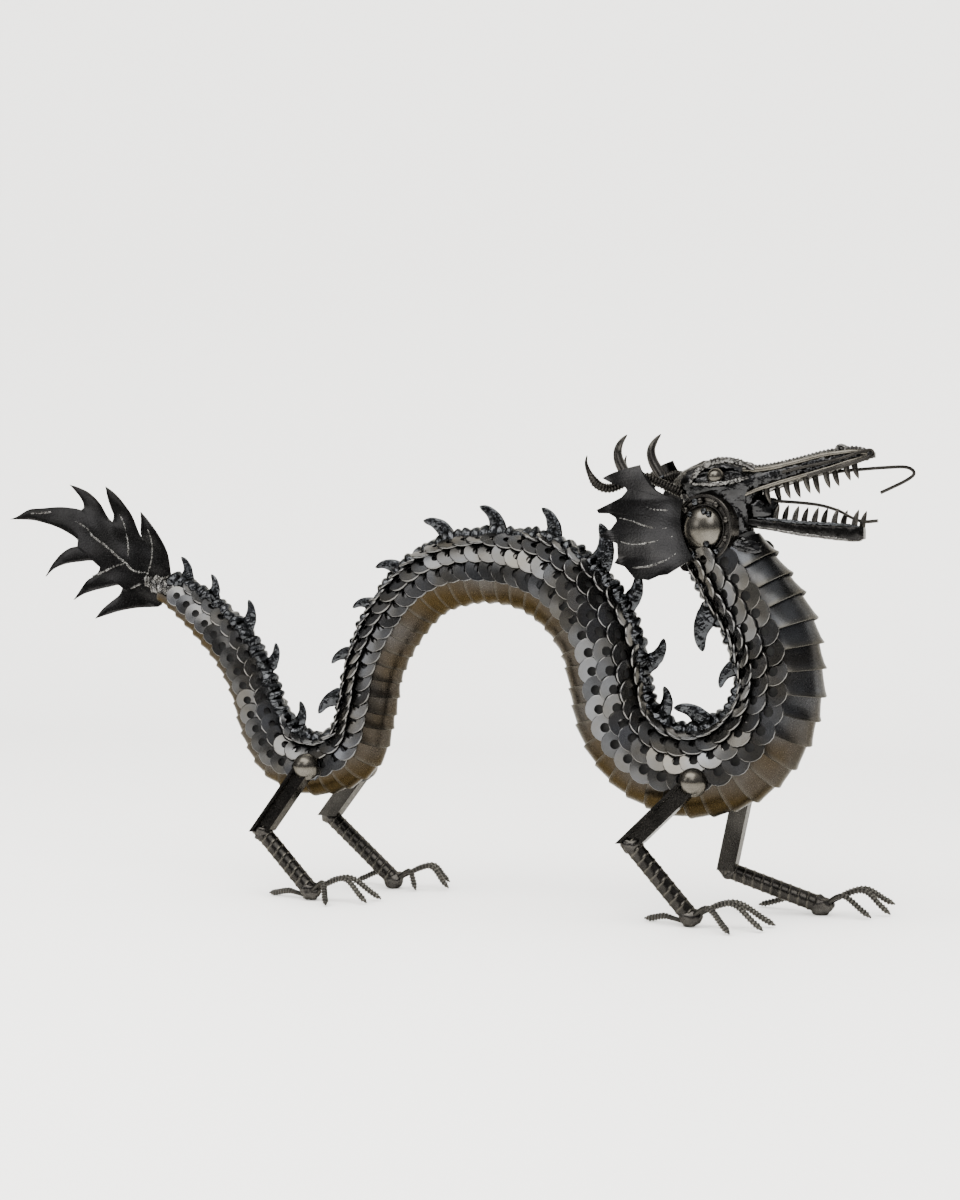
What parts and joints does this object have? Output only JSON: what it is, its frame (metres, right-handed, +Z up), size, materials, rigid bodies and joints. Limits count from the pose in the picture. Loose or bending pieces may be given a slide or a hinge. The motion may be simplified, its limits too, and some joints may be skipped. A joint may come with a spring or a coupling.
{
  "type": "dragon sculpture",
  "caption": "Chinese dragon sculpture welded from dark scrap steel, with overlapping washer scales, a fan tail and screw toes.",
  "frame": {"origin": "bottom centre of the bounding box, on the table under the middle of the dragon", "axes": "+X towards the head end, +Y to the dragon's left, +Z up; the feet stand on z = 0"},
  "size_m": [0.9224, 0.1588, 0.4325],
  "materials": {
    "scale_steel": "dark heat-tinted washers, semi-gloss",
    "belly_steel": "dark plates with a golden-brown sheen, semi-gloss",
    "weld_bead": "lumpy weld metal, near black, glossy",
    "sheet_steel": "dark gunmetal sheet with weld seams",
    "bar_steel": "dark steel bar, semi-gloss",
    "ball_steel": "polished warm grey balls",
    "bearing_steel": "worn bearing ring, semi-gloss",
    "screw_steel": "blackened wood screws"
  },
  "bodies": {
    "root": {"body_scales": "scale_steel", "belly_plates": "belly_steel", "back_ridge_tail": "weld_bead", "back_ridge_hind": "weld_bead", "back_ridge_arch": "weld_bead", "back_ridge_chest": "weld_bead", "back_ridge_throat": "weld_bead", "back_ridge_neck": "weld_bead", "tail_fin": "sheet_steel", "skull": "sheet_steel", "snout": "sheet_steel", "lower_jaw": "sheet_steel", "tongue": "bar_steel", "left_eye": "ball_steel", "right_eye": "ball_steel", "left_ear": "sheet_steel", "right_ear": "sheet_steel", "left_horn": "weld_bead", "right_horn": "weld_bead", "left_whisker": "bar_steel", "right_whisker": "bar_steel", "left_cheek_bearing": "bearing_steel", "right_cheek_bearing": "bearing_steel", "left_cheek_ball": "ball_steel", "right_cheek_ball": "ball_steel", "left_shoulder_ball": "ball_steel", "right_shoulder_ball": "ball_steel", "left_hip_ball": "ball_steel", "right_hip_ball": "ball_steel", "left_front_upper_leg": "sheet_steel", "right_front_upper_leg": "sheet_steel", "left_front_lower_leg": "bar_steel", "right_front_lower_leg": "bar_steel", "left_front_foot": "weld_bead", "right_front_foot": "weld_bead", "left_front_toe_1": "screw_steel", "right_front_toe_1": "screw_steel", "left_front_toe_2": "screw_steel", "right_front_toe_2": "screw_steel", "left_front_toe_3": "screw_steel", "right_front_toe_3": "screw_steel", "left_front_toe_4": "screw_steel", "right_front_toe_4": "screw_steel", "left_hind_upper_leg": "sheet_steel", "right_hind_upper_leg": "sheet_steel", "left_hind_lower_leg": "bar_steel", "right_hind_lower_leg": "bar_steel", "left_hind_foot": "weld_bead", "right_hind_foot": "weld_bead", "left_hind_toe_1": "screw_steel", "right_hind_toe_1": "screw_steel", "left_hind_toe_2": "screw_steel", "right_hind_toe_2": "screw_steel", "left_hind_toe_3": "screw_steel", "right_hind_toe_3": "screw_steel", "left_hind_toe_4": "screw_steel", "right_hind_toe_4": "screw_steel"}
  },
  "joints": []
}
